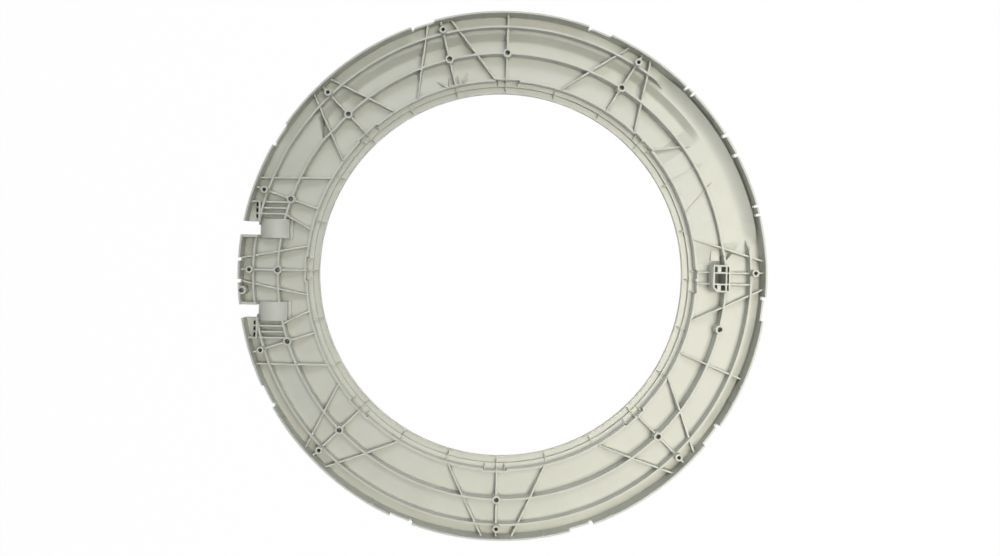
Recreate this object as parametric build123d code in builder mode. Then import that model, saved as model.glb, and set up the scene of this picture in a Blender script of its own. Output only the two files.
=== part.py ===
from build123d import *
import os
from math import atan2, cos, degrees, hypot, radians, sin, sqrt

# Ring: its outer radius, then widths from the rim inwards
outer_radius = 225.0
rim_gap = 11.4
rib_ring_gap = 20.4
slope_gap = 3.8
slope_run = 5.4
mid_rib_shift = 1.5
floor_width = 24.0
seat_width = 3.7
land_width = 5.5

# Heights, each from the level named before it
land_level = 3.0
seat_step = 3.0
seat_depth = 6.0
collar_height = 3.0
floor_step = 7.0
handle_sink = 0.4
mid_rib_height = 5.0
outer_rib_height = 9.0
rim_height = 16.0
rib_end_height = 1.5
rib_set_back = 0.4
rim_rib_drop = 7.5

# Wall thicknesses and edges
floor_thickness = 2.4
rib_thickness = 1.5
ring_rib_thickness = 1.8
collar_thickness = 2.0
rim_thickness = 1.5
rim_chamfer = 2.0

# Floor sectors, degrees round the ring from the latch side
handle_start = 9.6
handle_end = 35.8
deep_start = 39.8
deep_end = 140.5
flat_start = 144.5
flat_end = 364.5
outer_rib_start = 52.8
outer_rib_end = 367.5
outer_rib_tip = 2.3

# Screw bosses
outer_boss_offset = 1.8
outer_boss_diameter = 6.2
outer_boss_drop = 0.5
outer_hole_diameter = 3.2
outer_hole_depth = 13.0
inner_boss_diameter = 7.4
inner_boss_rise = 1.0
inner_hole_diameter = 4.2
inner_hole_depth = 9.0
latch_boss_angle = 2.0
outer_boss_angles = (58.9, 105.0, 135.0, 161.5, 180.0, 198.5, 225.0, 270.0, 315.6)
deep_boss_angles = (58.9, 90.0, 105.0, 135.0)
flat_boss_angles = (161.5, 180.0, 198.5, 225.0, 270.0, 315.6, 347.5)

# Straight ribs: radial ones, then pairs of angles at the outer and the inner end
radial_ribs = (58.9, 90.0, 105.0, 135.0, 161.5, 180.0, 198.5, 225.0, 270.0, 315.6, 338.0)
slanted_ribs = (
    (4.6, 12.0), (56.8, 48.6), (62.2, 73.5), (102.8, 93.2), (107.9, 116.7), (132.6, 124.6),
    (137.4, 145.4), (159.4, 151.7), (177.5, 172.9), (182.5, 187.1), (201.1, 208.6), (222.6, 215.2),
    (228.6, 239.6), (266.9, 255.6), (273.4, 284.1), (312.3, 301.2), (318.7, 329.9), (358.4, 348.1),
)
short_ribs = ((165.7, 168.0), (193.8, 192.0))
low_ribs = ((25.1, 20.4), (30.5, 30.5), (35.9, 41.2))
low_rib_height = 1.4
low_rib_gap = 5.6
gussets = ((100.9, 102.6), (103.8, 103.6), (106.2, 106.6), (109.8, 107.5))
gusset_length = 8.5

# Clip pockets round the glass seat
clip_count = 8
clip_start = -3.9
clip_end = 3.0
clip_rib_thickness = 1.5
pocket_depth = 1.5
pocket_wall = 1.8
pocket_floor_rise = 0.6

# Rim windows, slots and tabs, with their angles in degrees
window_starts = (66.9, 106.4, 146.4, 206.0, 246.1, 286.3, 321.5, 351.5)
handle_window_start = 28.7
window_sweep = 4.9
window_drop = 6.5
slot_width = 2.9
slot_rise = 5.0
tab_starts = (14.8, 45.0)
tab_sweep = 1.95
tab_slot_width = 2.1
catch_width = 5.0
catch_height = 3.0
catch_depth = 1.6

# Hinge side
notch_offset = 35.6
notch_width = 11.6
notch_depth = 15.3
cover_length = 25.0
cover_wall = 2.4
cover_crown = 8.5
cover_shoulder = 1.5
cover_step = 2.4
hinge_wall = 1.6
hinge_wall_drop = 5.5
block_wall_drop = 1.0
bed_length = 17.0
bed_rise = 3.0
bed_hollow = 1.8
hinge_ribs = 3
hinge_rib_pitch = 5.1
hinge_window = 2.3
block_slots = (177.8, 182.5)
eye_offset = -17.8
eye_inset = 2.6
eye_drop = 2.0
eye_diameter = 7.4
eye_hole_diameter = 4.0
eye_hole_depth = 8.0

# Latch side
latch_offset = 2.2
tower_length = 14.6
tower_width = 23.2
tower_reach = 1.8
tower_drop = 5.0
tower_wall = 1.3
tower_chamfer = 3.5
tower_cell = 3.4
latch_rib_gap = 9.8
latch_window_length = 6.4
latch_pad_length = 9.1
latch_pad_width = 8.7
latch_pad_gap = 3.2
latch_pad_rise = 1.0
latch_notch_length = 5.0
latch_notch_width = 1.6
latch_notch_depth = 3.0

# Radii, levels and places that follow from the sizes above
outer_rib_radius = outer_radius - rim_gap
outer_boss_circle = outer_rib_radius + outer_boss_offset
slope_head_radius = outer_rib_radius - slope_gap
slope_foot_radius = slope_head_radius - slope_run
low_rib_radius = slope_foot_radius - low_rib_gap
mid_rib_radius = outer_rib_radius - rib_ring_gap
collar_radius = mid_rib_radius - floor_width
seat_radius = collar_radius - seat_width
opening_radius = seat_radius - land_width
seat_level = land_level + seat_step
low_floor = seat_level + seat_depth
collar_top = low_floor + collar_height
handle_edge = collar_top - handle_sink
high_floor = low_floor + floor_step
mid_rib_top = high_floor + mid_rib_height
outer_rib_top = high_floor + outer_rib_height
rim_top = high_floor + rim_height
rim_bottom = high_floor - floor_thickness
slot_floor = rim_bottom + rim_chamfer + slot_rise
rib_crossing = mid_rib_top - rib_set_back
rib_inner_end = collar_top + rib_end_height
rib_outer_end = rim_top - rim_rib_drop
outer_boss_top = rim_top - outer_boss_drop
inner_boss_top = mid_rib_top + inner_boss_rise
clear = rim_top + 5.0
half_floor = floor_thickness / 2
half_ring = ring_rib_thickness / 2
collar_centre = collar_radius + collar_thickness / 2
collar_outside = collar_radius + collar_thickness
rim_inside = outer_radius - rim_thickness
rim_centre = outer_radius - rim_thickness / 2
hinge_x = notch_depth - outer_radius
cover_end = hinge_x + cover_length
cover_half = notch_width / 2 + cover_wall
notch_near = notch_offset - notch_width / 2
notch_far = notch_offset + notch_width / 2
bed_end = notch_far + bed_length
trim_radius = hypot(outer_radius, bed_end) + rim_chamfer
tower_right = mid_rib_radius + tower_reach
tower_left = tower_right - tower_length
tower_divider = tower_right - tower_cell
tower_low = latch_offset - tower_width / 2
tower_high = latch_offset + tower_width / 2
pocket_floor = seat_level + pocket_floor_rise
pocket_base = pocket_floor - pocket_wall
latch_ribs = (latch_offset + latch_rib_gap / 2, latch_offset - latch_rib_gap / 2)
latch_pad_x = tower_left + tower_wall + latch_pad_length / 2
latch_pad_y = tower_high + latch_pad_gap + latch_pad_width / 2
latch_pad_top = handle_edge + latch_pad_rise
eye_x = eye_inset - sqrt(outer_radius ** 2 - eye_offset ** 2)


def at(radius, angle):
    """Point in plan at a radius and an angle."""
    return (radius * cos(radians(angle)), radius * sin(radians(angle)))


def chord_x(radius, offset):
    """Where a line beside the hinge axis crosses a circle, on the hinge side."""
    return -sqrt(radius ** 2 - offset ** 2)


def handle_floor(radius):
    """Height of the curved, sloping handle floor at a radius."""
    share = (slope_head_radius - radius) / (slope_head_radius - collar_centre)
    return high_floor - (high_floor - handle_edge) * (0.6 * share + 0.4 * share ** 2)


def floor_line(kind):
    """Level at the collar, then foot and head of the step, for a kind of sector."""
    if kind == "flat":
        return low_floor, (mid_rib_radius, low_floor), (mid_rib_radius, high_floor)
    if kind == "deep":
        return low_floor, (slope_foot_radius, low_floor), (slope_head_radius, high_floor)
    return handle_edge, (slope_foot_radius, handle_floor(slope_foot_radius)), (slope_head_radius, high_floor)


def floor_outline(kind):
    """Corners of the floor's section, from the collar to the outer rib and back."""
    edge, foot, head = floor_line(kind)
    shift = ring_rib_thickness if kind == "flat" else half_floor
    joint = (outer_rib_radius, high_floor)
    lower = [(collar_centre, edge), (foot[0] + shift, foot[1]), (head[0] + shift, head[1]), joint]
    upper = [joint, head, foot, (collar_centre, edge)]
    return [(radius, level - floor_thickness) for radius, level in lower] + upper


def mid_rib_outline(kind):
    """Corners of the middle rib's section."""
    radius = mid_rib_radius if kind == "flat" else mid_rib_radius - mid_rib_shift
    foot = (handle_floor(radius) if kind == "handle" else low_floor) - half_floor
    return [(radius - half_ring, foot), (radius + half_ring, foot),
            (radius + half_ring, mid_rib_top), (radius - half_ring, mid_rib_top)]


def under_outline(kind):
    """Corners of the space below the middle of the floor."""
    edge, foot, head = floor_line(kind)
    inside, outside = seat_radius, outer_radius + rim_chamfer
    line = [(inside, edge), foot, head, (outside, high_floor)]
    return [(inside, -1.0)] + [(radius, level - half_floor) for radius, level in line] + [(outside, -1.0)]


def section(corners, angle):
    """Face with the given corners on an upright plane through the ring's axis."""
    ray = (cos(radians(angle)), sin(radians(angle)), 0)
    with BuildSketch(Plane(origin=(0, 0, 0), x_dir=ray, z_dir=(ray[1], -ray[0], 0))) as outline:
        with BuildLine():
            Polyline(*corners, close=True)
        make_face()
    return outline.sketch


def ring_of_sectors(outline):
    """Three turned sectors joined by three ramps, from a function that gives each kind's outline."""
    for kind, start, end in (("flat", flat_start, flat_end), ("handle", handle_start, handle_end),
                             ("deep", deep_start, deep_end)):
        revolve(section(outline(kind), start), axis=Axis.Z, revolution_arc=end - start)
    for first, start, second, end in (("flat", flat_end, "handle", handle_start),
                                      ("handle", handle_end, "deep", deep_start),
                                      ("deep", deep_end, "flat", flat_start)):
        loft([section(outline(first), start), section(outline(second), end)], ruled=True)


def upright(start, end, tops, width):
    """Upright rib between two points, its top given as shares of its length and heights."""
    length = hypot(end[0] - start[0], end[1] - start[1])
    along = ((end[0] - start[0]) / length, (end[1] - start[1]) / length, 0)
    corners = [(0, 1.0), (length, 1.0)] + [(share * length, top) for share, top in reversed(tops)]
    with BuildSketch(Plane(origin=(*start, 0), x_dir=along, z_dir=(along[1], -along[0], 0))) as side:
        with BuildLine():
            Polyline(*corners, close=True)
        make_face()
    return extrude(side.sketch, amount=width / 2, both=True, mode=Mode.PRIVATE)


def rib_level(radius):
    """Height of the straight ribs at a radius."""
    if radius < mid_rib_radius:
        share = (mid_rib_radius - radius) / (mid_rib_radius - collar_centre)
        return rib_crossing + share * (rib_inner_end - rib_crossing)
    share = (radius - mid_rib_radius) / (rim_centre - mid_rib_radius)
    return rib_crossing + share * (rib_outer_end - rib_crossing)


def rib(start, end):
    """Straight rib of the web, its top bent where it crosses the middle rib."""
    tops = [(0.0, rib_level(hypot(*start))), (1.0, rib_level(hypot(*end)))]
    run = (end[0] - start[0], end[1] - start[1])
    reach = run[0] ** 2 + run[1] ** 2
    towards = start[0] * run[0] + start[1] * run[1]
    spread = towards ** 2 - reach * (start[0] ** 2 + start[1] ** 2 - mid_rib_radius ** 2)
    if spread > 0:
        share = (-towards - sqrt(spread)) / reach
        if 0.05 < share < 0.95:
            tops.insert(1, (share, rib_crossing))
    return upright(start, end, tops, rib_thickness)


def fin(start, start_top, end, end_top, width):
    """Upright rib with one straight sloping top."""
    return upright(start, end, [(0.0, start_top), (1.0, end_top)], width)


def bar(start, end, width, mode=Mode.ADD):
    """Straight strip in plan between two points."""
    turn = degrees(atan2(end[1] - start[1], end[0] - start[0]))
    with Locations(((start[0] + end[0]) / 2, (start[1] + end[1]) / 2)):
        Rectangle(hypot(end[0] - start[0], end[1] - start[1]), width, rotation=turn, mode=mode)


def across(inside, outside, start, end):
    """Straight strip in plan between two radii, lying across the rays at two angles."""
    middle = (inside + outside) / 2
    bar(at(middle, start), at(middle, end), outside - inside)


def arch(left, right, shoulder, crown, foot):
    """Upright outline with a rounded top, for planes across the hinge."""
    with BuildLine() as outline:
        Polyline((left, shoulder), (left, foot), (right, foot), (right, shoulder))
        ThreePointArc((right, shoulder), ((left + right) / 2, crown), (left, shoulder))
    make_face(outline.edges())


# Shell: floor sectors, middle rib, rim, collar and outer rib
with BuildPart() as shell:
    ring_of_sectors(floor_outline)
    ring_of_sectors(mid_rib_outline)
    rim_outline = [
        (outer_rib_radius, rim_bottom), (outer_radius - rim_chamfer, rim_bottom),
        (outer_radius, rim_bottom + rim_chamfer), (outer_radius, rim_top), (rim_inside, rim_top),
        (rim_inside, high_floor), (outer_rib_radius, high_floor),
    ]
    revolve(section(rim_outline, 0), axis=Axis.Z)
    collar_outline = [
        (opening_radius, 0), (collar_outside, 0), (collar_outside, collar_top),
        (collar_radius, collar_top), (collar_radius, seat_level),
        (seat_radius, seat_level), (seat_radius, land_level), (opening_radius, land_level),
    ]
    revolve(section(collar_outline, 0), axis=Axis.Z)
    outer_rib_outline = [
        (outer_rib_radius - half_ring, high_floor - half_floor), (outer_rib_radius + half_ring, high_floor - half_floor),
        (outer_rib_radius + half_ring, outer_rib_top), (outer_rib_radius - half_ring, outer_rib_top),
    ]
    revolve(section(outer_rib_outline, outer_rib_start), axis=Axis.Z, revolution_arc=outer_rib_end - outer_rib_start)

# Space below the middle of the floor
with BuildPart() as under:
    ring_of_sectors(under_outline)

# Web: everything that stands on the floor
with BuildPart() as web:
    ribs = [rib(at(rim_centre, angle), at(collar_centre, angle)) for angle in radial_ribs]
    ribs += [rib(at(rim_centre, outer), at(collar_centre, inner)) for outer, inner in slanted_ribs]
    ribs += [rib(at(mid_rib_radius, outer), at(collar_centre, inner)) for outer, inner in short_ribs]
    for side in (1, -1):
        for row in range(hinge_ribs):
            line = side * (bed_end - row * hinge_rib_pitch)
            ribs.append(rib((hinge_x, line), (chord_x(mid_rib_radius, line), line)))
    for line in latch_ribs:
        ribs.append(rib((collar_centre, line), (tower_left + tower_wall / 2, line)))
        ribs.append(rib((tower_right - tower_wall / 2, line), (outer_rib_radius, line)))
    ribs.append(rib(at(outer_rib_radius, latch_boss_angle), at(rim_centre, latch_boss_angle)))
    add(ribs)

    fins = [fin(at(low_rib_radius, outer), handle_floor(low_rib_radius) + low_rib_height,
                at(collar_centre, inner), handle_edge + low_rib_height, rib_thickness)
            for outer, inner in low_ribs]
    fins += [fin(at(collar_centre + gusset_length, outer), low_floor,
                 at(collar_centre, inner), rib_inner_end, rib_thickness)
             for outer, inner in gussets]
    for end, tip in ((outer_rib_start, -outer_rib_tip), (outer_rib_end, outer_rib_tip)):
        fins.append(fin(at(outer_rib_radius, end - tip / 8), outer_rib_top,
                        at(outer_rib_radius, end + tip), high_floor, ring_rib_thickness))
    add(fins)

    with BuildSketch(Plane.XY.offset(1.0)):
        with Locations(*[at(outer_boss_circle, angle) for angle in (latch_boss_angle, *outer_boss_angles)]):
            Circle(outer_boss_diameter / 2)
    extrude(amount=outer_boss_top - 1.0)
    with BuildSketch(Plane.XY.offset(1.0)):
        with Locations(*[at(mid_rib_radius - mid_rib_shift, angle) for angle in deep_boss_angles]):
            Circle(inner_boss_diameter / 2)
        with Locations(*[at(mid_rib_radius, angle) for angle in flat_boss_angles]):
            Circle(inner_boss_diameter / 2)
    extrude(amount=inner_boss_top - 1.0)

    # Catches inside the rim tabs
    with BuildSketch(Plane.XY.offset(1.0)):
        for start in tab_starts:
            middle = start + tab_sweep / 2
            bar(at(rim_inside - catch_depth, middle), at(rim_centre, middle), catch_width)
    extrude(amount=high_floor + catch_height - 1.0)

    # Hinge side: walls round the notches, arched covers and curved beds
    with BuildSketch(Plane.XY.offset(1.0)):
        for side in (1, -1):
            bar((chord_x(rim_centre, bed_end), side * bed_end), (hinge_x, side * bed_end), hinge_wall)
            bar((hinge_x + hinge_wall / 2, side * (notch_far - 0.4)),
                (hinge_x + hinge_wall / 2, side * (bed_end + hinge_wall / 2)), hinge_wall)
    extrude(amount=rim_top - hinge_wall_drop - 1.0)
    with BuildSketch(Plane.XY.offset(1.0)):
        for side in (1, -1):
            line = side * (notch_near - cover_wall / 2 + 0.2)
            bar((chord_x(rim_centre, line), line), (hinge_x + 0.8, line), cover_wall)
    extrude(amount=rim_top - block_wall_drop - 1.0)
    for side in (1, -1):
        with BuildSketch(Plane.XZ.offset(-side * notch_offset)):
            arch(hinge_x, cover_end, high_floor + cover_shoulder, high_floor + cover_crown, 1.0)
        extrude(amount=cover_half, both=True)
        with BuildSketch(Plane.XZ.offset(-side * (notch_far + bed_length / 2))):
            arch(-outer_radius, hinge_x + 0.2, high_floor + bed_rise, high_floor + bed_rise - bed_hollow, 1.0)
        extrude(amount=bed_length / 2 + 0.6, both=True)
    with BuildSketch(Plane.XY.offset(1.0)):
        for side in (1, -1):
            with Locations((cover_end, side * notch_offset)):
                Rectangle(2 * cover_step, 2 * cover_half)
    extrude(amount=low_floor + cover_step - 1.0)

    # Latch side: tower with cells, and a pad beside it
    with BuildSketch(Plane.XY.offset(1.0)):
        for inset, mode in ((0.0, Mode.ADD), (tower_wall, Mode.SUBTRACT)):
            with BuildLine() as wall:
                Polyline((tower_left + inset, tower_low + tower_chamfer + inset / 2),
                         (tower_left + tower_chamfer + inset / 2, tower_low + inset),
                         (tower_right - inset, tower_low + inset),
                         (tower_right - inset, tower_high - inset),
                         (tower_left + inset, tower_high - inset), close=True)
            make_face(wall.edges(), mode=mode)
        for line in latch_ribs:
            bar((tower_left + tower_wall / 2, line), (tower_right - tower_wall / 2, line), tower_wall)
        bar((tower_divider, tower_low + tower_wall / 2), (tower_divider, tower_high - tower_wall / 2), tower_wall)
    extrude(amount=rim_top - tower_drop - 1.0)
    with BuildSketch(Plane.XY.offset(1.0)):
        with Locations((latch_pad_x, latch_pad_y)):
            Rectangle(latch_pad_length, latch_pad_width)
    extrude(amount=latch_pad_top - 1.0)

    # Round eye against the rim between the hinge notches
    with BuildSketch(Plane.XY.offset(1.0)):
        with Locations((eye_x, eye_offset)):
            Circle(eye_diameter / 2)
    extrude(amount=rim_top - eye_drop - 1.0)

    # Nothing reaches outside the rim or below the floor
    trim_outline = [(rim_centre + 0.3, 0), (trim_radius, 0), (trim_radius, clear), (rim_centre + 0.3, clear)]
    revolve(section(trim_outline, 0), axis=Axis.Z, mode=Mode.SUBTRACT)
    add(under.part, mode=Mode.SUBTRACT)

    # Walls of the clip pockets behind the collar, down to below the pockets
    with BuildSketch(Plane.XY.offset(pocket_base)):
        for number in range(clip_count):
            centre = number * 360 / clip_count
            across(collar_centre, collar_radius + pocket_depth + pocket_wall, centre + clip_start - 0.5,
                   centre + clip_end + 0.5)
    extrude(amount=collar_top - pocket_base)

# Whole frame
with BuildPart() as frame:
    add([shell.part, web.part])

    # Screw holes
    with BuildSketch(Plane.XY.offset(outer_boss_top - outer_hole_depth)):
        with Locations(*[at(outer_boss_circle, angle) for angle in (latch_boss_angle, *outer_boss_angles)]):
            Circle(outer_hole_diameter / 2)
    extrude(amount=clear, mode=Mode.SUBTRACT)
    with BuildSketch(Plane.XY.offset(inner_boss_top - inner_hole_depth)):
        with Locations(*[at(mid_rib_radius - mid_rib_shift, angle) for angle in deep_boss_angles]):
            Circle(inner_hole_diameter / 2)
        with Locations(*[at(mid_rib_radius, angle) for angle in flat_boss_angles]):
            Circle(inner_hole_diameter / 2)
    extrude(amount=clear, mode=Mode.SUBTRACT)

    # Clip pockets in the collar
    with BuildSketch(Plane.XY.offset(pocket_floor)):
        for number in range(clip_count):
            centre = number * 360 / clip_count
            across(collar_radius - 1.0, collar_radius + pocket_depth, centre + clip_start, centre + clip_end)
            bar(at(collar_radius, centre), at(collar_radius + 2 * pocket_depth, centre), clip_rib_thickness,
                Mode.SUBTRACT)
    extrude(amount=clear, mode=Mode.SUBTRACT)

    # Hinge notches, the windows beside them and the hollow of the covers
    with BuildSketch(Plane.XY.offset(-1.0)):
        for side in (1, -1):
            with Locations((hinge_x + 0.5 - notch_depth, side * notch_offset)):
                Rectangle(2 * notch_depth, notch_width)
            for row in range(hinge_ribs):
                line = side * (bed_end - hinge_rib_pitch * (row + 0.5) + hinge_wall / 4)
                with Locations((hinge_x - hinge_window / 2 - 0.3, line)):
                    Rectangle(hinge_window, hinge_rib_pitch - hinge_wall)
    extrude(amount=clear, mode=Mode.SUBTRACT)
    for side in (1, -1):
        with BuildSketch(Plane.XZ.offset(-side * notch_offset)):
            arch(hinge_x - 1.0, cover_end - cover_wall, high_floor + cover_shoulder - cover_wall,
                 high_floor + cover_crown - cover_wall, -1.0)
        extrude(amount=notch_width / 2 - 0.1, both=True, mode=Mode.SUBTRACT)

    # Windows and slots in the rim
    slot_angles = [start + window_sweep for start in (*window_starts, handle_window_start)]
    slot_angles += [handle_window_start, *block_slots]
    tab_angles = [start + sweep for start in tab_starts for sweep in (0.0, tab_sweep)]
    with BuildSketch(Plane.XY.offset(slot_floor)):
        for angles, width in ((slot_angles, slot_width), (tab_angles, tab_slot_width)):
            for angle in angles:
                bar(at(rim_inside - 1.5, angle), at(outer_radius + 2.0, angle), width)
    extrude(amount=clear, mode=Mode.SUBTRACT)
    with BuildSketch(Plane.XY.offset(rim_top - window_drop)):
        for start in window_starts:
            across(rim_inside - 2.0, outer_radius + 2.0, start, start + window_sweep)
    extrude(amount=clear, mode=Mode.SUBTRACT)

    # Notch in the latch pad
    with BuildSketch(Plane.XY.offset(latch_pad_top - latch_notch_depth)):
        with Locations((latch_pad_x + latch_pad_length / 2 - latch_notch_width / 2,
                        latch_pad_y - latch_pad_width / 2 + latch_notch_length / 2)):
            Rectangle(latch_notch_width, latch_notch_length)
    extrude(amount=clear, mode=Mode.SUBTRACT)

    # Hole of the eye and latch window
    with BuildSketch(Plane.XY.offset(rim_top - eye_drop - eye_hole_depth)):
        with Locations((eye_x, eye_offset)):
            Circle(eye_hole_diameter / 2)
    extrude(amount=clear, mode=Mode.SUBTRACT)
    with BuildSketch(Plane.XY.offset(-1.0)):
        with Locations((tower_divider - tower_wall / 2 - latch_window_length / 2 - 0.2, latch_offset)):
            Rectangle(latch_window_length, latch_rib_gap - tower_wall - 1.0)
    extrude(amount=low_floor + 3.0, mode=Mode.SUBTRACT)

frame.part.label = "inner_door_frame"
os.makedirs("parts", exist_ok=True)
export_step(frame.part, "parts/inner_door_frame.step")
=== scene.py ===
"""Looks of a washing machine inner door frame, lying with its ribs up on a white stage.

Sizes of pieces are in millimetres and angles in degrees. The lamps and the stage floor are placed in metres.
"""

from __future__ import annotations

import logging
import math
from collections.abc import Sequence
from dataclasses import dataclass
from enum import Enum

import bpy
from mathutils import Matrix, Vector


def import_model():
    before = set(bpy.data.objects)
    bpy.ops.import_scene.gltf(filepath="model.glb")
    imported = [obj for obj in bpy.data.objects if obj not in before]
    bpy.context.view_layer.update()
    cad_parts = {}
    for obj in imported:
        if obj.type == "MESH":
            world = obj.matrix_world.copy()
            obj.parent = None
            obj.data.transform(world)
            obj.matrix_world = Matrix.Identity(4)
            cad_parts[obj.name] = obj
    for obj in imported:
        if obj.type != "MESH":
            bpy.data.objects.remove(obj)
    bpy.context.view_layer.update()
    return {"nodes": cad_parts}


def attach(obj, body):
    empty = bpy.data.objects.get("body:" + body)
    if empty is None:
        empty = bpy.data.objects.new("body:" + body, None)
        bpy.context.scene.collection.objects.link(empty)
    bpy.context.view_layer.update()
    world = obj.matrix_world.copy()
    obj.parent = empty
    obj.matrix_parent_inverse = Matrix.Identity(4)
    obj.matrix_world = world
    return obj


LOG = logging.getLogger("inner_door_frame")
MM = 0.001
NODE = "inner_door_frame"
BODY = "root"
IMAGE_WIDTH = 1000
IMAGE_HEIGHT = 556
SEAT_TICKS = 24
CLIPS = 8
CLIP_END_ANGLES = (-3.5, 2.4)
RIM_MARK_ANGLES = (
    85.6, 95.3, 120.3, 142.4, 155.1, 214.6, 241.6, 260.1, 280.2, 295.6, 305.6, 332.5, 336.5, 345.4)
LATCH_GUIDE_X = (184.2, 187.6)
LATCH_GUIDE_Y = ((7.4, 12.9), (-8.5, -3.0))
LATCH_GUIDE_Z = (12.0, 28.6)
# Painted shade: dark plates on the hinge beds stand for the window mouths, a little outside the real openings,
# which the wall hides.
HINGE_WINDOW_SHADE_X = (-213.4, -211.5)
HINGE_WINDOW_LINES = (56.2, 51.1, 46.0)
HINGE_WINDOW_SHADE_HALF = 1.65
HINGE_WINDOW_SHADE_Z = (20.2, 21.25)


def linear_from_hex(code: str) -> tuple[float, float, float, float]:
    """Turns an sRGB hex colour into linear light.

    Args:
        code: Six hex digits, such as "d3d2c5".

    Returns:
        Red, green, blue and alpha, each from 0 to 1.
    """
    parts = [int(code[i:i + 2], 16) / 255 for i in (0, 2, 4)]
    light = [p / 12.92 if p <= 0.04045 else ((p + 0.055) / 1.055) ** 2.4 for p in parts]
    return light[0], light[1], light[2], 1.0


def per_metre(size_mm: float) -> float:
    """Pattern scale for a feature of that size in millimetres, on coordinates in metres."""
    return 1.0 / (size_mm * MM)


def add_node(
    tree: bpy.types.NodeTree,
    kind: str,
    settings: dict[str, object] | None = None,
    inputs: dict[str | int, object] | None = None,
) -> bpy.types.Node:
    """Adds a node with its settings, values and links.

    Args:
        tree: The node tree that gets the node.
        kind: The node's type name.
        settings: Attributes of the node.
        inputs: Values or output sockets, by input name or number.

    Returns:
        The new node.
    """
    node = tree.nodes.new(kind)
    for name, value in (settings or {}).items():
        setattr(node, name, value)
    for key, value in (inputs or {}).items():
        if isinstance(value, bpy.types.NodeSocket):
            tree.links.new(value, node.inputs[key])
        else:
            node.inputs[key].default_value = value
    return node


def blank_material(name: str) -> bpy.types.Material:
    """Makes a material with an empty node tree.

    Args:
        name: The material's name.

    Returns:
        The material.
    """
    material = bpy.data.materials.new(name)
    material.use_nodes = True
    material.node_tree.nodes.clear()
    return material


def deselect() -> None:
    """Leaves nothing selected and no object in edit mode."""
    if bpy.context.object and bpy.context.object.mode != "OBJECT":
        bpy.ops.object.mode_set(mode="OBJECT")
    bpy.ops.object.select_all(action="DESELECT")


def model_block(low: Vector, high: Vector, shift: Vector, edge: float) -> bpy.types.Object:
    """Models a block with broken edges, its upper edge at the -X side shifted.

    Args:
        low: Its lowest corner.
        high: Its highest corner.
        shift: How far the upper edge moves.
        edge: Width of the broken edges.

    Returns:
        The block, at the origin, with its place in its mesh.
    """
    deselect()
    middle = (low + high) / 2 * MM
    bpy.ops.mesh.primitive_cube_add(size=1, location=middle)
    block = bpy.context.object
    block.scale = (high - low) * MM
    bpy.ops.object.transform_apply(location=True, rotation=True, scale=True)
    for vertex in block.data.vertices:
        vertex.select = vertex.co.x < middle.x and vertex.co.z > middle.z
    for line in block.data.edges:
        line.select = all(block.data.vertices[end].select for end in line.vertices)
    for face in block.data.polygons:
        face.select = False
    bpy.ops.object.mode_set(mode="EDIT")
    bpy.ops.mesh.select_mode(type="EDGE")
    bpy.ops.transform.translate(value=shift * MM)
    bpy.ops.mesh.select_all(action="SELECT")
    bpy.ops.mesh.bevel(offset=edge * MM, segments=1)
    bpy.ops.object.mode_set(mode="OBJECT")
    return block


def join_pieces(pieces: list[bpy.types.Object]) -> bpy.types.Object:
    """Joins pieces into the first of them.

    Args:
        pieces: What is joined.

    Returns:
        The joined piece.
    """
    deselect()
    for piece in pieces:
        piece.select_set(True)
    bpy.context.view_layer.objects.active = pieces[0]
    bpy.ops.object.join()
    return pieces[0]


def fit_out(piece: bpy.types.Object, name: str, finish: bpy.types.Material) -> bpy.types.Object:
    """Names a new piece, gives it its finish and lets it ride on the frame.

    Args:
        piece: The modelled piece.
        name: Its name.
        finish: Its material.

    Returns:
        The same piece.
    """
    piece.name = name
    piece.data.materials.append(finish)
    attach(piece, BODY)
    LOG.info("built %s", piece.name)
    return piece


class Stop(Enum):
    """Steps of the plastic's tone, as places on its mottle ramp."""

    DULL = 0.30
    CLEAN = 0.72


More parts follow.
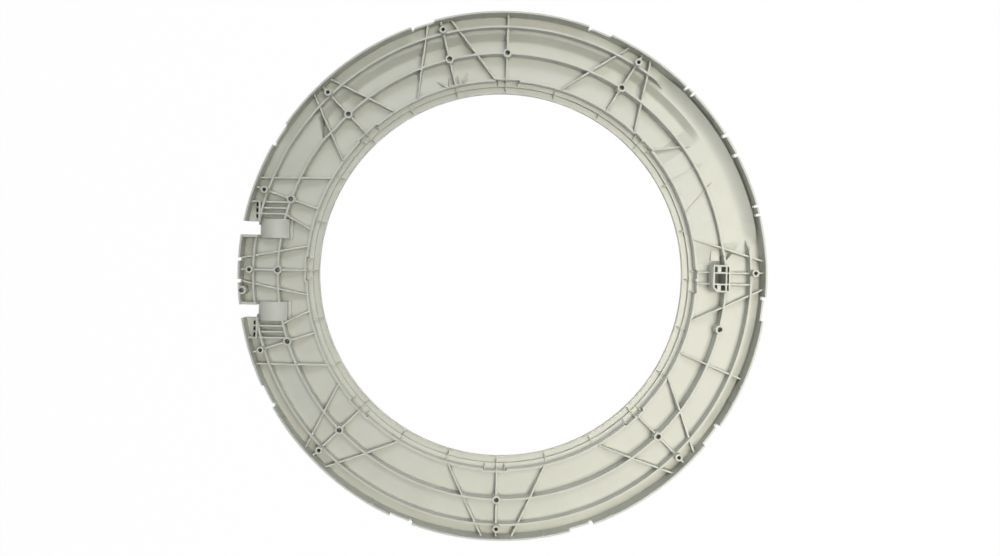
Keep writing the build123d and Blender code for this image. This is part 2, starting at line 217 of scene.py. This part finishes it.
@dataclass(frozen=True)
class MouldedAbs:
    """Injection-moulded light grey ABS: even colour, satin sheen, fine spark-eroded grain, faint mottle,
    painted shade in recesses.
    """

    name: str = "moulded_grey_abs"
    clean: str = "d4d5cb"
    dull: str = "cccdc3"
    roughness: float = 0.48
    roughness_spread: float = 0.10
    ior: float = 1.53
    mottle_mm: float = 38.0
    grain_mm: float = 0.9
    grain_depth_mm: float = 0.03
    edge_mm: float = 0.35
    bend_mm: float = 3.2
    bend_radius_mm: float = 206.0
    bend_reach_mm: float = 6.0
    bend_level_mm: float = 15.5
    bend_height_mm: float = 4.6
    # The recess settings paint shade into the colour in holes and at the feet of ribs.
    recess_mm: float = 5.0
    recess_open: float = 0.66
    recess_shut: float = 0.12
    painted_shade_tone: float = 0.60

    def build(self) -> bpy.types.Material:
        """Makes the node material.

        Returns:
            The finished material.
        """
        material = blank_material(self.name)
        tree = material.node_tree
        place = add_node(tree, "ShaderNodeTexCoord").outputs["Object"]
        mottle = add_node(tree, "ShaderNodeTexNoise", inputs={
            "Vector": place, "Scale": per_metre(self.mottle_mm), "Detail": 4.0, "Roughness": 0.6})
        tone = add_node(tree, "ShaderNodeValToRGB", inputs={"Fac": mottle.outputs["Fac"]})
        for element, (stop, colour) in zip(
                tone.color_ramp.elements, ((Stop.DULL, self.dull), (Stop.CLEAN, self.clean))):
            element.position = stop.value
            element.color = linear_from_hex(colour)
        # Real grain is a few tenths of a millimetre; it is drawn coarser so that it shows at this distance.
        grain = add_node(tree, "ShaderNodeTexNoise", inputs={
            "Vector": place, "Scale": per_metre(self.grain_mm), "Detail": 2.0})
        gloss = add_node(tree, "ShaderNodeMapRange", inputs={
            "Value": mottle.outputs["Fac"], "To Min": self.roughness - self.roughness_spread,
            "To Max": self.roughness + self.roughness_spread})
        # Edges are broken only a little, but the floor's step between the two ring ribs is a wide soft bend.
        plan = add_node(tree, "ShaderNodeVectorMath", {"operation": "MULTIPLY"}, {
            0: place, 1: (1.0, 1.0, 0.0)})
        reach = add_node(tree, "ShaderNodeVectorMath", {"operation": "LENGTH"}, {0: plan.outputs["Vector"]})
        level = add_node(tree, "ShaderNodeSeparateXYZ", inputs={"Vector": place})
        near_step = add_node(tree, "ShaderNodeMath", {"operation": "COMPARE"}, {
            0: reach.outputs["Value"], 1: self.bend_radius_mm * MM, 2: self.bend_reach_mm * MM})
        at_floor = add_node(tree, "ShaderNodeMath", {"operation": "COMPARE"}, {
            0: level.outputs["Z"], 1: self.bend_level_mm * MM, 2: self.bend_height_mm * MM})
        on_bend = add_node(tree, "ShaderNodeMath", {"operation": "MULTIPLY"}, {
            0: near_step.outputs[0], 1: at_floor.outputs[0]})
        softness = add_node(tree, "ShaderNodeMath", {"operation": "MULTIPLY_ADD"}, {
            0: on_bend.outputs[0], 1: (self.bend_mm - self.edge_mm) * MM, 2: self.edge_mm * MM})
        soft_edge = add_node(tree, "ShaderNodeBevel", {"samples": 6}, {"Radius": softness.outputs[0]})
        bump = add_node(tree, "ShaderNodeBump", inputs={
            "Height": grain.outputs["Fac"], "Distance": self.grain_depth_mm * MM, "Strength": 0.6,
            "Normal": soft_edge.outputs["Normal"]})
        # Painted shade: ambient occlusion darkens the colour in holes and at the feet of ribs, standing in for
        # the shade that falls there.
        shelter = add_node(tree, "ShaderNodeAmbientOcclusion", {"samples": 8, "only_local": True}, {
            "Distance": self.recess_mm * MM})
        painted_recess_shade = add_node(tree, "ShaderNodeMapRange", inputs={
            "Value": shelter.outputs["AO"], "From Min": self.recess_shut, "From Max": self.recess_open,
            "To Min": self.painted_shade_tone, "To Max": 1.0})
        shade_darkened_tone = add_node(tree, "ShaderNodeVectorMath", {"operation": "SCALE"}, {
            0: tone.outputs["Color"], "Scale": painted_recess_shade.outputs["Result"]})
        surface = add_node(tree, "ShaderNodeBsdfPrincipled", inputs={
            "Base Color": shade_darkened_tone.outputs["Vector"], "Roughness": gloss.outputs["Result"], "IOR": self.ior,
            "Normal": bump.outputs["Normal"]})
        add_node(tree, "ShaderNodeOutputMaterial", inputs={"Surface": surface.outputs["BSDF"]})
        return material


@dataclass(frozen=True)
class ShadedDepth:
    """Painted shade for the unlit depth behind a small window in a wall: matt and nearly black, with a faint
    brown cast.
    """

    name: str = "shaded_depth"
    deep: str = "26231f"
    shallow: str = "3b3731"
    roughness: float = 0.9
    patch_mm: float = 2.5

    def build(self) -> bpy.types.Material:
        """Makes the node material.

        Returns:
            The finished material.
        """
        material = blank_material(self.name)
        tree = material.node_tree
        place = add_node(tree, "ShaderNodeTexCoord").outputs["Object"]
        patches = add_node(tree, "ShaderNodeTexNoise", inputs={
            "Vector": place, "Scale": per_metre(self.patch_mm)})
        tone = add_node(tree, "ShaderNodeValToRGB", inputs={"Fac": patches.outputs["Fac"]})
        for element, colour in zip(tone.color_ramp.elements, (self.deep, self.shallow)):
            element.color = linear_from_hex(colour)
        surface = add_node(tree, "ShaderNodeBsdfPrincipled", inputs={
            "Base Color": tone.outputs["Color"], "Roughness": self.roughness})
        add_node(tree, "ShaderNodeOutputMaterial", inputs={"Surface": surface.outputs["BSDF"]})
        return material


@dataclass(frozen=True)
class StagePaper:
    """White paper sweep: it shows white to the camera and keeps a faint shadow."""

    name: str = "stage_paper"
    colour: str = "f4f4f2"
    glow: float = 0.985
    opening_mm: float = 160.0
    rim_mm: float = 224.0
    fade_mm: float = 1.5
    notch_start_mm: float = -200.0
    notch_offset_mm: float = 35.6
    notch_half_mm: float = 7.4

    def build(self) -> bpy.types.Material:
        """Makes the node material.

        Returns:
            The finished material.
        """
        material = blank_material(self.name)
        tree = material.node_tree
        rays = add_node(tree, "ShaderNodeLightPath")
        direct = add_node(tree, "ShaderNodeMath", {"operation": "MAXIMUM"}, {
            0: rays.outputs["Is Camera Ray"], 1: rays.outputs["Is Glossy Ray"]})
        seen = add_node(tree, "ShaderNodeMath", {"operation": "MAXIMUM"}, {
            0: direct.outputs[0], 1: rays.outputs["Is Transmission Ray"]})
        # Below the frame, apart from its hinge notches, the paper stays in shade, so small openings look dark.
        place = add_node(tree, "ShaderNodeTexCoord").outputs["Object"]
        reach = add_node(tree, "ShaderNodeVectorMath", {"operation": "LENGTH"}, {0: place}).outputs["Value"]
        inside = add_node(tree, "ShaderNodeMapRange", inputs={
            "Value": reach, "From Min": self.opening_mm * MM,
            "From Max": (self.opening_mm + self.fade_mm) * MM, "To Min": self.glow, "To Max": 0.0})
        outside = add_node(tree, "ShaderNodeMapRange", inputs={
            "Value": reach, "From Min": (self.rim_mm - self.fade_mm) * MM, "From Max": self.rim_mm * MM,
            "To Min": 0.0, "To Max": self.glow})
        axes = add_node(tree, "ShaderNodeSeparateXYZ", inputs={"Vector": place})
        aside = add_node(tree, "ShaderNodeMath", {"operation": "ABSOLUTE"}, {0: axes.outputs["Y"]})
        in_line = add_node(tree, "ShaderNodeMath", {"operation": "COMPARE"}, {
            0: aside.outputs[0], 1: self.notch_offset_mm * MM, 2: self.notch_half_mm * MM})
        at_hinge = add_node(tree, "ShaderNodeMath", {"operation": "LESS_THAN"}, {
            0: axes.outputs["X"], 1: self.notch_start_mm * MM})
        notch = add_node(tree, "ShaderNodeMath", {"operation": "MULTIPLY"}, {
            0: in_line.outputs[0], 1: at_hinge.outputs[0]})
        in_notch = add_node(tree, "ShaderNodeMath", {"operation": "MULTIPLY"}, {
            0: notch.outputs[0], 1: self.glow})
        around = add_node(tree, "ShaderNodeMath", {"operation": "MAXIMUM"}, {
            0: inside.outputs["Result"], 1: outside.outputs["Result"]})
        beside = add_node(tree, "ShaderNodeMath", {"operation": "MAXIMUM"}, {
            0: around.outputs[0], 1: in_notch.outputs[0]})
        share = add_node(tree, "ShaderNodeMath", {"operation": "MULTIPLY"}, {
            0: seen.outputs[0], 1: beside.outputs[0]})
        paper = add_node(tree, "ShaderNodeBsdfDiffuse", inputs={"Color": linear_from_hex(self.colour)})
        white = add_node(tree, "ShaderNodeEmission", inputs={"Strength": 1.0})
        mix = add_node(tree, "ShaderNodeMixShader", inputs={
            0: share.outputs[0], 1: paper.outputs["BSDF"], 2: white.outputs["Emission"]})
        add_node(tree, "ShaderNodeOutputMaterial", inputs={"Surface": mix.outputs["Shader"]})
        return material


@dataclass
class DoorFrame:
    """The moulded frame itself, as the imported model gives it."""

    node: bpy.types.Object
    finish: bpy.types.Material

    def dress(self) -> None:
        """Gives the frame its plastic."""
        self.node.data.materials.clear()
        self.node.data.materials.append(self.finish)
        LOG.info("dressed %s", self.node.name)


@dataclass
class Fins:
    """Thin upright fins with the inner top corner set back, modelled once and copied round the ring."""

    name: str
    finish: bpy.types.Material
    angles: tuple[float, ...]
    inner_radius: float
    outer_radius: float
    foot: float
    top: float
    thickness: float
    set_back: float = 0.0
    edge: float = 0.12

    def build(self) -> bpy.types.Object:
        """Models one fin, copies it round the ring and joins the copies.

        Returns:
            The fins as one piece.
        """
        low = Vector((self.inner_radius, -self.thickness / 2, self.foot))
        high = Vector((self.outer_radius, self.thickness / 2, self.top))
        first = model_block(low, high, Vector((self.set_back, 0, 0)), self.edge)
        fins = [first]
        for angle in self.angles[1:]:
            copy = first.copy()
            copy.data = first.data.copy()
            bpy.context.scene.collection.objects.link(copy)
            copy.data.transform(Matrix.Rotation(math.radians(angle), 4, "Z"))
            fins.append(copy)
        first.data.transform(Matrix.Rotation(math.radians(self.angles[0]), 4, "Z"))
        return fit_out(join_pieces(fins), self.name, self.finish)


@dataclass
class Cove:
    """Hollow rounding between the floor and the rim, rising outwards and fading at both ends."""

    finish: bpy.types.Material
    name: str = "handle_cove"
    start: float = 8.0
    end: float = 53.0
    fade: float = 4.0
    inner_radius: float = 209.4
    outer_radius: float = 221.3
    floor: float = 19.0
    lift: float = -0.02
    depth: float = 0.6
    curve: float = 0.052
    steps_round: int = 72
    steps_across: int = 12
    smooth_angle: float = 40.0

    def height(self, radius: float, angle: float) -> float:
        """Height of the cove's face.

        Args:
            radius: Distance from the ring's axis.
            angle: Degrees round the ring.

        Returns:
            The height in millimetres.
        """
        near_end = min(angle - self.start, self.end - angle) / self.fade
        share = min(max(near_end, 0.0), 1.0)
        ease = share * share * (3 - 2 * share)
        return self.floor + self.lift + ease * self.curve * (radius - self.inner_radius) ** 2

    def build(self) -> bpy.types.Object:
        """Bends a grid into the cove's face and gives it a flat underside.

        Returns:
            The cove as one closed piece.
        """
        deselect()
        bpy.ops.mesh.primitive_grid_add(
            x_subdivisions=self.steps_across, y_subdivisions=self.steps_round, size=1, location=(0, 0, 0))
        cove = bpy.context.object
        for vertex in cove.data.vertices:
            radius = self.inner_radius + (vertex.co.x + 0.5) * (self.outer_radius - self.inner_radius)
            angle = self.start + (vertex.co.y + 0.5) * (self.end - self.start)
            turn = math.radians(angle)
            vertex.co = Vector(
                (radius * math.cos(turn), radius * math.sin(turn), self.height(radius, angle))) * MM
        bpy.ops.object.mode_set(mode="EDIT")
        bpy.ops.mesh.select_all(action="SELECT")
        bpy.ops.mesh.extrude_region_move(TRANSFORM_OT_translate={"value": (0, 0, -self.depth * MM)})
        bpy.ops.transform.resize(
            value=(1, 1, 0), center_override=(0, 0, (self.floor - self.depth) * MM))
        bpy.ops.mesh.select_all(action="SELECT")
        bpy.ops.mesh.normals_make_consistent(inside=False)
        bpy.ops.object.mode_set(mode="OBJECT")
        bpy.ops.object.shade_smooth_by_angle(angle=math.radians(self.smooth_angle))
        return fit_out(cove, self.name, self.finish)


@dataclass
class Lip:
    """Low bead round the inner edge of the opening."""

    finish: bpy.types.Material
    name: str = "opening_lip"
    inner_radius: float = 160.05
    outer_radius: float = 161.0
    foot: float = 2.8
    top: float = 4.1
    edge: float = 0.25
    steps: int = 240
    merge: float = 0.01
    smooth_angle: float = 35.0

    def build(self) -> bpy.types.Object:
        """Spins a small square section round the ring's axis.

        Returns:
            The lip as one closed ring.
        """
        deselect()
        middle = Vector(((self.inner_radius + self.outer_radius) / 2, 0, (self.foot + self.top) / 2)) * MM
        bpy.ops.mesh.primitive_plane_add(size=1, location=middle, rotation=(math.pi / 2, 0, 0))
        lip = bpy.context.object
        lip.scale = ((self.outer_radius - self.inner_radius) * MM, (self.top - self.foot) * MM, 1)
        bpy.ops.object.transform_apply(location=True, rotation=True, scale=True)
        bpy.ops.object.mode_set(mode="EDIT")
        bpy.ops.mesh.select_all(action="SELECT")
        bpy.ops.mesh.bevel(offset=self.edge * MM, segments=2, affect="VERTICES")
        bpy.ops.mesh.select_all(action="SELECT")
        bpy.ops.mesh.delete(type="ONLY_FACE")
        bpy.ops.mesh.select_all(action="SELECT")
        bpy.ops.mesh.spin(steps=self.steps, angle=2 * math.pi, center=(0, 0, 0), axis=(0, 0, 1))
        bpy.ops.mesh.select_all(action="SELECT")
        bpy.ops.mesh.remove_doubles(threshold=self.merge * MM)
        bpy.ops.mesh.normals_make_consistent(inside=False)
        bpy.ops.object.mode_set(mode="OBJECT")
        bpy.ops.object.shade_smooth_by_angle(angle=math.radians(self.smooth_angle))
        return fit_out(lip, self.name, self.finish)


@dataclass
class Blocks:
    """Small blocks, each from its own low and high corner, with tops lower by the drop at the -X side."""

    name: str
    finish: bpy.types.Material
    corners: tuple[tuple[tuple[float, float, float], tuple[float, float, float]], ...]
    drop: float = 0.0
    edge: float = 0.15

    def build(self) -> bpy.types.Object:
        """Models the blocks and joins them.

        Returns:
            The blocks as one piece.
        """
        shift = Vector((0, 0, -self.drop))
        blocks = [model_block(Vector(low), Vector(high), shift, self.edge) for low, high in self.corners]
        return fit_out(join_pieces(blocks), self.name, self.finish)


@dataclass
class Lamp:
    """One soft box, aimed at a point of the frame."""

    name: str
    azimuth: float
    reach: float
    height: float
    size: float
    power: float
    colour: str
    aim: tuple[float, float, float] = (0.0, 0.0, 0.0)
    spread: float = 180.0

    def build(self) -> None:
        """Adds the lamp to the scene."""
        light = bpy.data.lights.new(self.name, "AREA")
        light.shape = "DISK"
        light.size = self.size
        light.spread = math.radians(self.spread)
        light.energy = self.power
        light.color = linear_from_hex(self.colour)[:3]
        lamp = bpy.data.objects.new(self.name, light)
        bpy.context.scene.collection.objects.link(lamp)
        angle = math.radians(self.azimuth)
        lamp.location = (self.reach * math.cos(angle), self.reach * math.sin(angle), self.height)
        lamp.rotation_euler = (Vector(self.aim) - lamp.location).to_track_quat("-Z", "Y").to_euler()


@dataclass
class Stage:
    """White floor, even surrounding light and the lamps."""

    paper: bpy.types.Material
    floor_size: float = 6.0
    floor_drop_mm: float = 0.2
    surround: str = "e4f0ff"
    surround_strength: float = 0.265

    def build(self) -> None:
        """Adds the floor, the surrounding light and the lamps."""
        deselect()
        bpy.ops.mesh.primitive_plane_add(size=self.floor_size, location=(0, 0, -self.floor_drop_mm * MM))
        floor = bpy.context.object
        floor.name = "stage_floor"
        floor.data.materials.append(self.paper)
        self.light_surround()
        for lamp in (
            Lamp("key_lamp", azimuth=-12.0, reach=0.42, height=1.60, size=0.90, power=2.3, colour="fff9eb",
                 aim=(0.27, -0.11, 0.0), spread=52.0),
            Lamp("side_lamp", azimuth=85.0, reach=1.00, height=1.20, size=0.60, power=5.4, colour="f8faff"),
        ):
            lamp.build()

    def light_surround(self) -> None:
        """Sets the surrounding light, which the camera sees as white."""
        world = bpy.data.worlds.new("surround")
        bpy.context.scene.world = world
        world.use_nodes = True
        tree = world.node_tree
        tree.nodes.clear()
        rays = add_node(tree, "ShaderNodeLightPath")
        soft = add_node(tree, "ShaderNodeBackground", inputs={
            "Color": linear_from_hex(self.surround), "Strength": self.surround_strength})
        white = add_node(tree, "ShaderNodeBackground", inputs={"Strength": 1.0})
        white.inputs["Color"].default_value = (1, 1, 1, 1)
        mix = add_node(tree, "ShaderNodeMixShader", inputs={
            0: rays.outputs["Is Camera Ray"], 1: soft.outputs["Background"], 2: white.outputs["Background"]})
        add_node(tree, "ShaderNodeOutputWorld", inputs={"Surface": mix.outputs["Shader"]})


@dataclass
class OverheadCamera:
    """Camera straight above the frame, a little to the hinge side, as in the photograph."""

    place_mm: tuple[float, float, float] = (-39.2, 20.0, 800.0)
    turn_degrees: float = 1.45
    focal_px: float = 901.3
    foot_px: tuple[float, float] = (456.96, 251.15)
    sensor_mm: float = 36.0
    far_clip: float = 50.0

    def build(self) -> None:
        """Adds the camera and makes it the scene's own."""
        data = bpy.data.cameras.new("overhead_camera")
        data.sensor_width = self.sensor_mm
        data.lens = self.focal_px / IMAGE_WIDTH * self.sensor_mm
        data.shift_x = (IMAGE_WIDTH / 2 - self.foot_px[0]) / IMAGE_WIDTH
        data.shift_y = (self.foot_px[1] - IMAGE_HEIGHT / 2) / IMAGE_WIDTH
        data.clip_end = self.far_clip
        camera = bpy.data.objects.new("overhead_camera", data)
        bpy.context.scene.collection.objects.link(camera)
        camera.location = Vector(self.place_mm) * MM
        camera.rotation_euler = (0, 0, math.radians(self.turn_degrees))
        bpy.context.scene.camera = camera


def fine_fins(finish: bpy.types.Material) -> list[Fins]:
    """Lists the fins too fine for the solids.

    Args:
        finish: The plastic they are moulded in.

    Returns:
        The ticks across the glass seat, the ends of the clip pockets and the marks on the rim's wall.
    """
    ticks = tuple(number * 360 / SEAT_TICKS for number in range(SEAT_TICKS))
    pocket_ends = tuple(
        number * 360 / CLIPS + offset for number in range(CLIPS) for offset in CLIP_END_ANGLES)
    return [
        Fins("seat_ribs", finish, ticks, inner_radius=161.6, outer_radius=170.2, foot=2.9, top=8.6,
             thickness=0.8, set_back=1.6),
        Fins("clip_ends", finish, pocket_ends, inner_radius=165.9, outer_radius=170.4, foot=5.9, top=10.8,
             thickness=0.8, set_back=1.2),
        Fins("rim_marks", finish, RIM_MARK_ANGLES, inner_radius=222.8, outer_radius=223.8, foot=18.9,
             top=34.4, thickness=0.9),
    ]


def fine_blocks(plastic: bpy.types.Material, shade: bpy.types.Material) -> list[Blocks]:
    """Lists the small blocks too fine for the solids.

    Args:
        plastic: The plastic of the frame.
        shade: The painted shade standing for the dark depth behind the hinge beds' window openings.

    Returns:
        The guides in the latch tower's cells and dark plates of painted shade for the window mouths beside the
        hinge beds.
    """
    guides = tuple(
        ((LATCH_GUIDE_X[0], low, LATCH_GUIDE_Z[0]), (LATCH_GUIDE_X[1], high, LATCH_GUIDE_Z[1]))
        for low, high in LATCH_GUIDE_Y)
    shade_plates = tuple(
        ((HINGE_WINDOW_SHADE_X[0], side * line - HINGE_WINDOW_SHADE_HALF, HINGE_WINDOW_SHADE_Z[0]),
         (HINGE_WINDOW_SHADE_X[1], side * line + HINGE_WINDOW_SHADE_HALF, HINGE_WINDOW_SHADE_Z[1]))
        for side in (1, -1) for line in HINGE_WINDOW_LINES)
    return [
        Blocks("latch_guides", plastic, guides),
        # Painted shade: these dark plates stand for the window mouths beside the hinge beds.
        Blocks("hinge_window_shade", shade, shade_plates, drop=0.5, edge=0.05),
    ]


def floor_coves(finish: bpy.types.Material) -> list[Cove]:
    """Lists the hollow roundings along the rim.

    Args:
        finish: The plastic they are moulded in.

    Returns:
        The cove of the handle and the one below the latch.
    """
    return [
        Cove(finish),
        Cove(finish, "rim_cove", start=318.0, end=366.5, fade=10.0, inner_radius=215.9, outer_radius=221.6,
             curve=0.1, steps_across=8),
    ]


def main() -> None:
    """Loads the frame, dresses it, adds its fine pieces and sets the stage."""
    logging.basicConfig(level=logging.INFO, format="%(name)s: %(message)s")
    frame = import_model()
    bpy.context.scene.view_settings.view_transform = "Standard"
    plastic = MouldedAbs().build()
    DoorFrame(frame["nodes"][NODE], plastic).dress()
    fine_plastic = MouldedAbs("moulded_grey_abs_fine", bend_mm=MouldedAbs.edge_mm).build()
    for fins in fine_fins(fine_plastic):
        fins.build()
    for blocks in fine_blocks(fine_plastic, ShadedDepth().build()):
        blocks.build()
    for cove in floor_coves(fine_plastic):
        cove.build()
    Lip(fine_plastic).build()
    Stage(StagePaper().build()).build()
    OverheadCamera().build()


if __name__ == "__main__":
    main()
